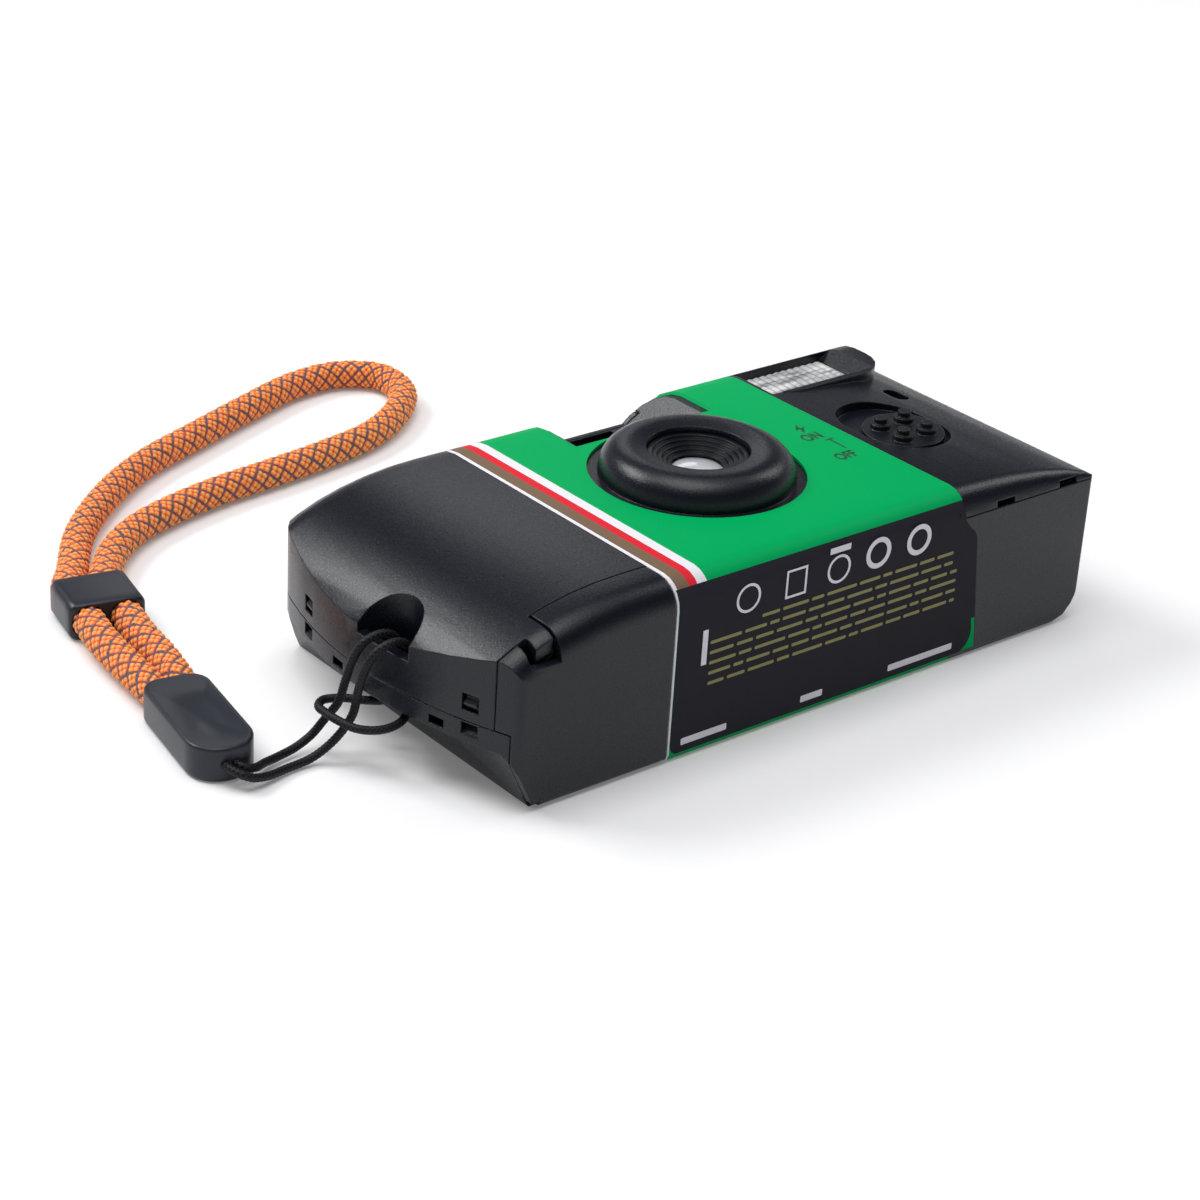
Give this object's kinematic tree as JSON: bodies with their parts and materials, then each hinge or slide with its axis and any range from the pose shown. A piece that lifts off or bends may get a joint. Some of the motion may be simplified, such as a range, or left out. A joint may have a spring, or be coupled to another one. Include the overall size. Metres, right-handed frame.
{
  "type": "single-use film camera",
  "caption": "Single-use film camera lying on its back, lens up, with a printed card sleeve, built-in flash and a braided wrist strap.",
  "frame": {"origin": "middle of the body's flat back, on the floor", "axes": "+Z along the lens axis away from the back, +Y towards the camera's top, +X towards its flash end"},
  "size_m": [0.131, 0.129, 0.0299],
  "materials": {
    "black_plastic": "fine grained satin",
    "inner_plastic": "matte",
    "pale_plastic": "satin",
    "card": "coated printed card",
    "clear": "clear moulded",
    "lamp": "translucent",
    "steel": "plain",
    "bright": "polished",
    "copper": "plain",
    "board": "satin",
    "can": "satin",
    "cell": "gloss",
    "sleeve_blue": "shrunk sleeve",
    "film": "film base",
    "rope": "braided",
    "cord": "twisted"
  },
  "bodies": {
    "camera": {"front_cover": "black_plastic", "rear_cover": "black_plastic", "label_sleeve": "card", "main_body": "inner_plastic", "lens_retainer": "inner_plastic", "taking_lens": "clear", "aperture_plate": "steel", "drive_spring": "steel", "counter_window": "clear", "viewfinder_front_lens": "clear", "viewfinder_rear_lens": "clear", "film_cartridge": "can", "film_strip": "film", "flash_window": "clear", "flash_reflector": "bright", "flash_tube": "clear", "flash_board": "board", "main_capacitor": "sleeve_blue", "transformer": "copper", "trigger_coil": "copper", "battery": "cell", "battery_contact_plus": "steel", "battery_contact_minus": "steel", "switch_contact": "copper", "sync_contact": "copper", "ready_lamp": "lamp", "strap_end_cap": "black_plastic", "strap_rope": "rope", "strap_cord": "cord"},
    "door": {"film_door": "black_plastic"},
    "winder": {"thumb_wheel": "black_plastic", "cartridge_spool": "inner_plastic"},
    "sprocket": {"film_sprocket": "pale_plastic"},
    "dial": {"counter_dial": "pale_plastic"},
    "supply": {"supply_spool": "inner_plastic", "film_roll": "film"},
    "button": {"shutter_button": "black_plastic"},
    "lock": {"lock_lever": "pale_plastic"},
    "drive": {"drive_lever": "pale_plastic"},
    "blade": {"shutter_blade": "steel"},
    "switch": {"flash_switch": "black_plastic"},
    "slider": {"strap_slider": "black_plastic"}
  },
  "joints": [
    {"name": "door_swing", "type": "hinge", "parent": "camera", "child": "door", "pos_m": [-0.034, -0.0262, 0.00115], "axis": [1, 0, 0], "range_deg": [0, 85]},
    {"name": "wheel_turn", "type": "hinge", "parent": "camera", "child": "winder", "pos_m": [-0.0325, 0.022, 0.0127], "axis": [0, 1, 0], "continuous": true},
    {"name": "sprocket_turn", "type": "hinge", "parent": "camera", "child": "sprocket", "pos_m": [-0.017, 0.016, 0.00725], "axis": [0, 1, 0], "continuous": true},
    {"name": "dial_turn", "type": "hinge", "parent": "camera", "child": "dial", "pos_m": [-0.0135, 0.0239, 0.0115], "axis": [0, 1, 0], "continuous": true},
    {"name": "supply_turn", "type": "hinge", "parent": "camera", "child": "supply", "pos_m": [0.0295, 0, 0.0102], "axis": [0, 1, 0], "continuous": true},
    {"name": "button_press", "type": "slide", "parent": "camera", "child": "button", "axis": [0, -1, 0], "range_m": [0, 0.001], "stiffness_N_per_m": 600},
    {"name": "lock_swing", "type": "hinge", "parent": "camera", "child": "lock", "pos_m": [-0.0175, 0.012, 0.0225], "axis": [0, 0, -1], "range_deg": [0, 14]},
    {"name": "drive_swing", "type": "hinge", "parent": "camera", "child": "drive", "pos_m": [-0.0086, 0.0099, 0.0225], "axis": [0, 0, 1], "range_deg": [0, 18], "stiffness_Nm_per_rad": 0.003, "deforming": ["drive_spring"]},
    {"name": "blade_swing", "type": "hinge", "parent": "camera", "child": "blade", "pos_m": [-0.0081, -0.0021, 0.0192], "axis": [0, 0, -1], "range_deg": [0, 25]},
    {"name": "switch_slide", "type": "slide", "parent": "camera", "child": "switch", "axis": [0, 1, 0], "range_m": [0, 0.0042]},
    {"name": "slider_slide", "type": "slide", "parent": "camera", "child": "slider", "axis": [-0.2079, -0.9781, 0], "range_m": [0, 0.006]}
  ],
  "couplings": [
    {"joint": "sprocket_turn", "follows": "wheel_turn", "ratio": 1.8},
    {"joint": "dial_turn", "follows": "wheel_turn", "ratio": 0.03},
    {"joint": "supply_turn", "follows": "wheel_turn", "ratio": 0.64},
    {"joint": "lock_swing", "follows": "button_press", "rad_per_m": 222.2},
    {"joint": "blade_swing", "follows": "drive_swing", "ratio": 1.3333}
  ]
}
